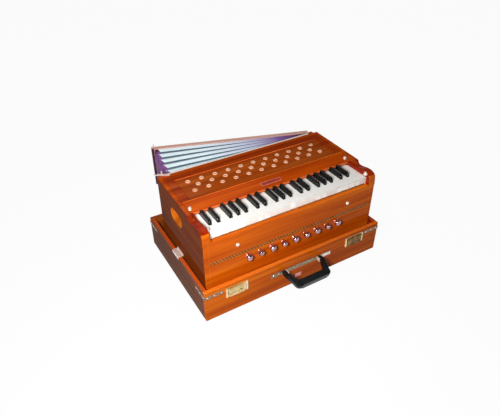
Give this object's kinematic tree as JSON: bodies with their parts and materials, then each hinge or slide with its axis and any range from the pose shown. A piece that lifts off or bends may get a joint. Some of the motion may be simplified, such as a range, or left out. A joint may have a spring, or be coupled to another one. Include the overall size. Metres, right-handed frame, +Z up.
{
  "type": "indian harmonium",
  "caption": "Hand-pumped keyboard reed organ raised in its lacquered suitcase base tray, with a fan bellows open at the back, draw stops and a carrying handle.",
  "frame": {"origin": "centre of the base tray's flat underside", "axes": "+X towards the treble end of the keyboard, -Y towards the player, +Z up"},
  "size_m": [0.64, 0.6205, 0.319],
  "materials": {
    "lacquered_case": "orange-brown gloss lacquer over straight-grained teak",
    "lacquered_tray": "orange-brown gloss lacquer over straight-grained teak",
    "white_key": "glossy white acrylic on a wooden lever",
    "black_key": "glossy black",
    "polished_nickel": "nickel plate, polished",
    "latch_brass": "pale brass plate, slightly tarnished",
    "handle_plastic": "black moulded plastic",
    "bellows_paper": "pale blue card ribs with purple cloth gussets",
    "red_felt": "wool felt",
    "spring_steel": "drawn wire and sheet",
    "bare_wood": "unlacquered",
    "eyelet_bone": "cream turned rings"
  },
  "bodies": {
    "tray": {"base_tray": "lacquered_tray"},
    "instrument": {"instrument_case": "lacquered_case"},
    "cover": {"top_cover": "lacquered_case"},
    "bellows": {"bellows_board": "lacquered_case", "bellows_folds": "bellows_paper"},
    "catch": {"bellows_catch": "polished_nickel"},
    "handle": {"carrying_handle": "handle_plastic"},
    "latch_l": {"latch_left": "latch_brass"},
    "latch_r": {"latch_right": "latch_brass"},
    "stop_1_rod": {"stop_1": "polished_nickel"},
    "stop_2_rod": {"stop_2": "polished_nickel"},
    "stop_3_rod": {"stop_3": "polished_nickel"},
    "stop_4_rod": {"stop_4": "polished_nickel"},
    "stop_5_rod": {"stop_5": "polished_nickel"},
    "stop_6_rod": {"stop_6": "polished_nickel"},
    "stop_7_rod": {"stop_7": "polished_nickel"},
    "stop_8_rod": {"stop_8": "polished_nickel"},
    "stop_9_rod": {"stop_9": "polished_nickel"},
    "key_1_c_lever": {"key_1_c": "white_key"},
    "key_1_c_sharp_lever": {"key_1_c_sharp": "black_key"},
    "key_1_d_lever": {"key_1_d": "white_key"},
    "key_1_d_sharp_lever": {"key_1_d_sharp": "black_key"},
    "key_1_e_lever": {"key_1_e": "white_key"},
    "key_1_f_lever": {"key_1_f": "white_key"},
    "key_1_f_sharp_lever": {"key_1_f_sharp": "black_key"},
    "key_1_g_lever": {"key_1_g": "white_key"},
    "key_1_g_sharp_lever": {"key_1_g_sharp": "black_key"},
    "key_1_a_lever": {"key_1_a": "white_key"},
    "key_1_a_sharp_lever": {"key_1_a_sharp": "black_key"},
    "key_1_b_lever": {"key_1_b": "white_key"},
    "key_2_c_lever": {"key_2_c": "white_key"},
    "key_2_c_sharp_lever": {"key_2_c_sharp": "black_key"},
    "key_2_d_lever": {"key_2_d": "white_key"},
    "key_2_d_sharp_lever": {"key_2_d_sharp": "black_key"},
    "key_2_e_lever": {"key_2_e": "white_key"},
    "key_2_f_lever": {"key_2_f": "white_key"},
    "key_2_f_sharp_lever": {"key_2_f_sharp": "black_key"},
    "key_2_g_lever": {"key_2_g": "white_key"},
    "key_2_g_sharp_lever": {"key_2_g_sharp": "black_key"},
    "key_2_a_lever": {"key_2_a": "white_key"},
    "key_2_a_sharp_lever": {"key_2_a_sharp": "black_key"},
    "key_2_b_lever": {"key_2_b": "white_key"},
    "key_3_c_lever": {"key_3_c": "white_key"},
    "key_3_c_sharp_lever": {"key_3_c_sharp": "black_key"},
    "key_3_d_lever": {"key_3_d": "white_key"},
    "key_3_d_sharp_lever": {"key_3_d_sharp": "black_key"},
    "key_3_e_lever": {"key_3_e": "white_key"},
    "key_3_f_lever": {"key_3_f": "white_key"},
    "key_3_f_sharp_lever": {"key_3_f_sharp": "black_key"},
    "key_3_g_lever": {"key_3_g": "white_key"},
    "key_3_g_sharp_lever": {"key_3_g_sharp": "black_key"},
    "key_3_a_lever": {"key_3_a": "white_key"},
    "key_3_a_sharp_lever": {"key_3_a_sharp": "black_key"},
    "key_3_b_lever": {"key_3_b": "white_key"},
    "key_4_c_lever": {"key_4_c": "white_key"},
    "key_4_c_sharp_lever": {"key_4_c_sharp": "black_key"},
    "key_4_d_lever": {"key_4_d": "white_key"},
    "key_4_d_sharp_lever": {"key_4_d_sharp": "black_key"},
    "key_4_e_lever": {"key_4_e": "white_key"},
    "key_4_f_lever": {"key_4_f": "white_key"}
  },
  "joints": [
    {"name": "instrument_lift", "type": "slide", "parent": "tray", "child": "instrument", "axis": [0, 0, 1], "range_m": [-0.04, 0]},
    {"name": "bellows_swing", "type": "hinge", "parent": "instrument", "child": "bellows", "pos_m": [0.284, 0.151, 0.226], "axis": [0, 0, 1], "range_deg": [-5, 18], "deforming": ["bellows_folds"]},
    {"name": "cover_hinge", "type": "hinge", "parent": "instrument", "child": "cover", "pos_m": [0, 0.1127, 0.30407], "axis": [-1, 0, 0], "range_deg": [0, 100]},
    {"name": "handle_pivot", "type": "hinge", "parent": "tray", "child": "handle", "pos_m": [0.01, -0.21928, 0.069], "axis": [1, 0, 0], "range_deg": [-72, 42]},
    {"name": "latch_left_hinge", "type": "hinge", "parent": "tray", "child": "latch_l", "pos_m": [-0.218, -0.2133, 0.092], "axis": [-1, 0, 0], "range_deg": [0, 150]},
    {"name": "latch_right_hinge", "type": "hinge", "parent": "tray", "child": "latch_r", "pos_m": [0.218, -0.2133, 0.092], "axis": [-1, 0, 0], "range_deg": [0, 150]},
    {"name": "catch_swivel", "type": "hinge", "parent": "instrument", "child": "catch", "pos_m": [-0.266, 0.1195, 0.306], "axis": [0, 0, -1], "range_deg": [-31, 59]},
    {"name": "stop_1_draw", "type": "slide", "parent": "instrument", "child": "stop_1_rod", "axis": [0, -1, 0], "range_m": [0, 0.025]},
    {"name": "stop_2_draw", "type": "slide", "parent": "instrument", "child": "stop_2_rod", "axis": [0, -1, 0], "range_m": [0, 0.025]},
    {"name": "stop_3_draw", "type": "slide", "parent": "instrument", "child": "stop_3_rod", "axis": [0, -1, 0], "range_m": [0, 0.025]},
    {"name": "stop_4_draw", "type": "slide", "parent": "instrument", "child": "stop_4_rod", "axis": [0, -1, 0], "range_m": [0, 0.025]},
    {"name": "stop_5_draw", "type": "slide", "parent": "instrument", "child": "stop_5_rod", "axis": [0, -1, 0], "range_m": [0, 0.025]},
    {"name": "stop_6_draw", "type": "slide", "parent": "instrument", "child": "stop_6_rod", "axis": [0, -1, 0], "range_m": [0, 0.025]},
    {"name": "stop_7_draw", "type": "slide", "parent": "instrument", "child": "stop_7_rod", "axis": [0, -1, 0], "range_m": [0, 0.025]},
    {"name": "stop_8_draw", "type": "slide", "parent": "instrument", "child": "stop_8_rod", "axis": [0, -1, 0], "range_m": [0, 0.025]},
    {"name": "stop_9_draw", "type": "slide", "parent": "instrument", "child": "stop_9_rod", "axis": [0, -1, 0], "range_m": [0, 0.025]},
    {"name": "key_1_c_press", "type": "hinge", "parent": "instrument", "child": "key_1_c_lever", "pos_m": [-0.26112, -0.035, 0.2525], "axis": [1, 0, 0], "range_deg": [0, 3.9], "stiffness_Nm_per_rad": 0.4, "springref_deg": -11.46},
    {"name": "key_1_c_sharp_press", "type": "hinge", "parent": "instrument", "child": "key_1_c_sharp_lever", "pos_m": [-0.25242, -0.035, 0.2525], "axis": [1, 0, 0], "range_deg": [0, 3.9], "stiffness_Nm_per_rad": 0.4, "springref_deg": -11.46},
    {"name": "key_1_d_press", "type": "hinge", "parent": "instrument", "child": "key_1_d_lever", "pos_m": [-0.23936, -0.035, 0.2525], "axis": [1, 0, 0], "range_deg": [0, 3.9], "stiffness_Nm_per_rad": 0.4, "springref_deg": -11.46},
    {"name": "key_1_d_sharp_press", "type": "hinge", "parent": "instrument", "child": "key_1_d_sharp_lever", "pos_m": [-0.2263, -0.035, 0.2525], "axis": [1, 0, 0], "range_deg": [0, 3.9], "stiffness_Nm_per_rad": 0.4, "springref_deg": -11.46},
    {"name": "key_1_e_press", "type": "hinge", "parent": "instrument", "child": "key_1_e_lever", "pos_m": [-0.2176, -0.035, 0.2525], "axis": [1, 0, 0], "range_deg": [0, 3.9], "stiffness_Nm_per_rad": 0.4, "springref_deg": -11.46},
    {"name": "key_1_f_press", "type": "hinge", "parent": "instrument", "child": "key_1_f_lever", "pos_m": [-0.19584, -0.035, 0.2525], "axis": [1, 0, 0], "range_deg": [0, 3.9], "stiffness_Nm_per_rad": 0.4, "springref_deg": -11.46},
    {"name": "key_1_f_sharp_press", "type": "hinge", "parent": "instrument", "child": "key_1_f_sharp_lever", "pos_m": [-0.18807, -0.035, 0.2525], "axis": [1, 0, 0], "range_deg": [0, 3.9], "stiffness_Nm_per_rad": 0.4, "springref_deg": -11.46},
    {"name": "key_1_g_press", "type": "hinge", "parent": "instrument", "child": "key_1_g_lever", "pos_m": [-0.17408, -0.035, 0.2525], "axis": [1, 0, 0], "range_deg": [0, 3.9], "stiffness_Nm_per_rad": 0.4, "springref_deg": -11.46},
    {"name": "key_1_g_sharp_press", "type": "hinge", "parent": "instrument", "child": "key_1_g_sharp_lever", "pos_m": [-0.1632, -0.035, 0.2525], "axis": [1, 0, 0], "range_deg": [0, 3.9], "stiffness_Nm_per_rad": 0.4, "springref_deg": -11.46},
    {"name": "key_1_a_press", "type": "hinge", "parent": "instrument", "child": "key_1_a_lever", "pos_m": [-0.15232, -0.035, 0.2525], "axis": [1, 0, 0], "range_deg": [0, 3.9], "stiffness_Nm_per_rad": 0.4, "springref_deg": -11.46},
    {"name": "key_1_a_sharp_press", "type": "hinge", "parent": "instrument", "child": "key_1_a_sharp_lever", "pos_m": [-0.13833, -0.035, 0.2525], "axis": [1, 0, 0], "range_deg": [0, 3.9], "stiffness_Nm_per_rad": 0.4, "springref_deg": -11.46},
    {"name": "key_1_b_press", "type": "hinge", "parent": "instrument", "child": "key_1_b_lever", "pos_m": [-0.13056, -0.035, 0.2525], "axis": [1, 0, 0], "range_deg": [0, 3.9], "stiffness_Nm_per_rad": 0.4, "springref_deg": -11.46},
    {"name": "key_2_c_press", "type": "hinge", "parent": "instrument", "child": "key_2_c_lever", "pos_m": [-0.1088, -0.035, 0.2525], "axis": [1, 0, 0], "range_deg": [0, 3.9], "stiffness_Nm_per_rad": 0.4, "springref_deg": -11.46},
    {"name": "key_2_c_sharp_press", "type": "hinge", "parent": "instrument", "child": "key_2_c_sharp_lever", "pos_m": [-0.1001, -0.035, 0.2525], "axis": [1, 0, 0], "range_deg": [0, 3.9], "stiffness_Nm_per_rad": 0.4, "springref_deg": -11.46},
    {"name": "key_2_d_press", "type": "hinge", "parent": "instrument", "child": "key_2_d_lever", "pos_m": [-0.08704, -0.035, 0.2525], "axis": [1, 0, 0], "range_deg": [0, 3.9], "stiffness_Nm_per_rad": 0.4, "springref_deg": -11.46},
    {"name": "key_2_d_sharp_press", "type": "hinge", "parent": "instrument", "child": "key_2_d_sharp_lever", "pos_m": [-0.07398, -0.035, 0.2525], "axis": [1, 0, 0], "range_deg": [0, 3.9], "stiffness_Nm_per_rad": 0.4, "springref_deg": -11.46},
    {"name": "key_2_e_press", "type": "hinge", "parent": "instrument", "child": "key_2_e_lever", "pos_m": [-0.06528, -0.035, 0.2525], "axis": [1, 0, 0], "range_deg": [0, 3.9], "stiffness_Nm_per_rad": 0.4, "springref_deg": -11.46},
    {"name": "key_2_f_press", "type": "hinge", "parent": "instrument", "child": "key_2_f_lever", "pos_m": [-0.04352, -0.035, 0.2525], "axis": [1, 0, 0], "range_deg": [0, 3.9], "stiffness_Nm_per_rad": 0.4, "springref_deg": -11.46},
    {"name": "key_2_f_sharp_press", "type": "hinge", "parent": "instrument", "child": "key_2_f_sharp_lever", "pos_m": [-0.03575, -0.035, 0.2525], "axis": [1, 0, 0], "range_deg": [0, 3.9], "stiffness_Nm_per_rad": 0.4, "springref_deg": -11.46},
    {"name": "key_2_g_press", "type": "hinge", "parent": "instrument", "child": "key_2_g_lever", "pos_m": [-0.02176, -0.035, 0.2525], "axis": [1, 0, 0], "range_deg": [0, 3.9], "stiffness_Nm_per_rad": 0.4, "springref_deg": -11.46},
    {"name": "key_2_g_sharp_press", "type": "hinge", "parent": "instrument", "child": "key_2_g_sharp_lever", "pos_m": [-0.01088, -0.035, 0.2525], "axis": [1, 0, 0], "range_deg": [0, 3.9], "stiffness_Nm_per_rad": 0.4, "springref_deg": -11.46},
    {"name": "key_2_a_press", "type": "hinge", "parent": "instrument", "child": "key_2_a_lever", "pos_m": [0, -0.035, 0.2525], "axis": [1, 0, 0], "range_deg": [0, 3.9], "stiffness_Nm_per_rad": 0.4, "springref_deg": -11.46},
    {"name": "key_2_a_sharp_press", "type": "hinge", "parent": "instrument", "child": "key_2_a_sharp_lever", "pos_m": [0.01399, -0.035, 0.2525], "axis": [1, 0, 0], "range_deg": [0, 3.9], "stiffness_Nm_per_rad": 0.4, "springref_deg": -11.46},
    {"name": "key_2_b_press", "type": "hinge", "parent": "instrument", "child": "key_2_b_lever", "pos_m": [0.02176, -0.035, 0.2525], "axis": [1, 0, 0], "range_deg": [0, 3.9], "stiffness_Nm_per_rad": 0.4, "springref_deg": -11.46},
    {"name": "key_3_c_press", "type": "hinge", "parent": "instrument", "child": "key_3_c_lever", "pos_m": [0.04352, -0.035, 0.2525], "axis": [1, 0, 0], "range_deg": [0, 3.9], "stiffness_Nm_per_rad": 0.4, "springref_deg": -11.46},
    {"name": "key_3_c_sharp_press", "type": "hinge", "parent": "instrument", "child": "key_3_c_sharp_lever", "pos_m": [0.05222, -0.035, 0.2525], "axis": [1, 0, 0], "range_deg": [0, 3.9], "stiffness_Nm_per_rad": 0.4, "springref_deg": -11.46},
    {"name": "key_3_d_press", "type": "hinge", "parent": "instrument", "child": "key_3_d_lever", "pos_m": [0.06528, -0.035, 0.2525], "axis": [1, 0, 0], "range_deg": [0, 3.9], "stiffness_Nm_per_rad": 0.4, "springref_deg": -11.46},
    {"name": "key_3_d_sharp_press", "type": "hinge", "parent": "instrument", "child": "key_3_d_sharp_lever", "pos_m": [0.07834, -0.035, 0.2525], "axis": [1, 0, 0], "range_deg": [0, 3.9], "stiffness_Nm_per_rad": 0.4, "springref_deg": -11.46},
    {"name": "key_3_e_press", "type": "hinge", "parent": "instrument", "child": "key_3_e_lever", "pos_m": [0.08704, -0.035, 0.2525], "axis": [1, 0, 0], "range_deg": [0, 3.9], "stiffness_Nm_per_rad": 0.4, "springref_deg": -11.46},
    {"name": "key_3_f_press", "type": "hinge", "parent": "instrument", "child": "key_3_f_lever", "pos_m": [0.1088, -0.035, 0.2525], "axis": [1, 0, 0], "range_deg": [0, 3.9], "stiffness_Nm_per_rad": 0.4, "springref_deg": -11.46},
    {"name": "key_3_f_sharp_press", "type": "hinge", "parent": "instrument", "child": "key_3_f_sharp_lever", "pos_m": [0.11657, -0.035, 0.2525], "axis": [1, 0, 0], "range_deg": [0, 3.9], "stiffness_Nm_per_rad": 0.4, "springref_deg": -11.46},
    {"name": "key_3_g_press", "type": "hinge", "parent": "instrument", "child": "key_3_g_lever", "pos_m": [0.13056, -0.035, 0.2525], "axis": [1, 0, 0], "range_deg": [0, 3.9], "stiffness_Nm_per_rad": 0.4, "springref_deg": -11.46},
    {"name": "key_3_g_sharp_press", "type": "hinge", "parent": "instrument", "child": "key_3_g_sharp_lever", "pos_m": [0.14144, -0.035, 0.2525], "axis": [1, 0, 0], "range_deg": [0, 3.9], "stiffness_Nm_per_rad": 0.4, "springref_deg": -11.46},
    {"name": "key_3_a_press", "type": "hinge", "parent": "instrument", "child": "key_3_a_lever", "pos_m": [0.15232, -0.035, 0.2525], "axis": [1, 0, 0], "range_deg": [0, 3.9], "stiffness_Nm_per_rad": 0.4, "springref_deg": -11.46},
    {"name": "key_3_a_sharp_press", "type": "hinge", "parent": "instrument", "child": "key_3_a_sharp_lever", "pos_m": [0.16631, -0.035, 0.2525], "axis": [1, 0, 0], "range_deg": [0, 3.9], "stiffness_Nm_per_rad": 0.4, "springref_deg": -11.46},
    {"name": "key_3_b_press", "type": "hinge", "parent": "instrument", "child": "key_3_b_lever", "pos_m": [0.17408, -0.035, 0.2525], "axis": [1, 0, 0], "range_deg": [0, 3.9], "stiffness_Nm_per_rad": 0.4, "springref_deg": -11.46},
    {"name": "key_4_c_press", "type": "hinge", "parent": "instrument", "child": "key_4_c_lever", "pos_m": [0.19584, -0.035, 0.2525], "axis": [1, 0, 0], "range_deg": [0, 3.9], "stiffness_Nm_per_rad": 0.4, "springref_deg": -11.46},
    {"name": "key_4_c_sharp_press", "type": "hinge", "parent": "instrument", "child": "key_4_c_sharp_lever", "pos_m": [0.20454, -0.035, 0.2525], "axis": [1, 0, 0], "range_deg": [0, 3.9], "stiffness_Nm_per_rad": 0.4, "springref_deg": -11.46},
    {"name": "key_4_d_press", "type": "hinge", "parent": "instrument", "child": "key_4_d_lever", "pos_m": [0.2176, -0.035, 0.2525], "axis": [1, 0, 0], "range_deg": [0, 3.9], "stiffness_Nm_per_rad": 0.4, "springref_deg": -11.46},
    {"name": "key_4_d_sharp_press", "type": "hinge", "parent": "instrument", "child": "key_4_d_sharp_lever", "pos_m": [0.23066, -0.035, 0.2525], "axis": [1, 0, 0], "range_deg": [0, 3.9], "stiffness_Nm_per_rad": 0.4, "springref_deg": -11.46},
    {"name": "key_4_e_press", "type": "hinge", "parent": "instrument", "child": "key_4_e_lever", "pos_m": [0.23936, -0.035, 0.2525], "axis": [1, 0, 0], "range_deg": [0, 3.9], "stiffness_Nm_per_rad": 0.4, "springref_deg": -11.46},
    {"name": "key_4_f_press", "type": "hinge", "parent": "instrument", "child": "key_4_f_lever", "pos_m": [0.26112, -0.035, 0.2525], "axis": [1, 0, 0], "range_deg": [0, 3.9], "stiffness_Nm_per_rad": 0.4, "springref_deg": -11.46}
  ]
}
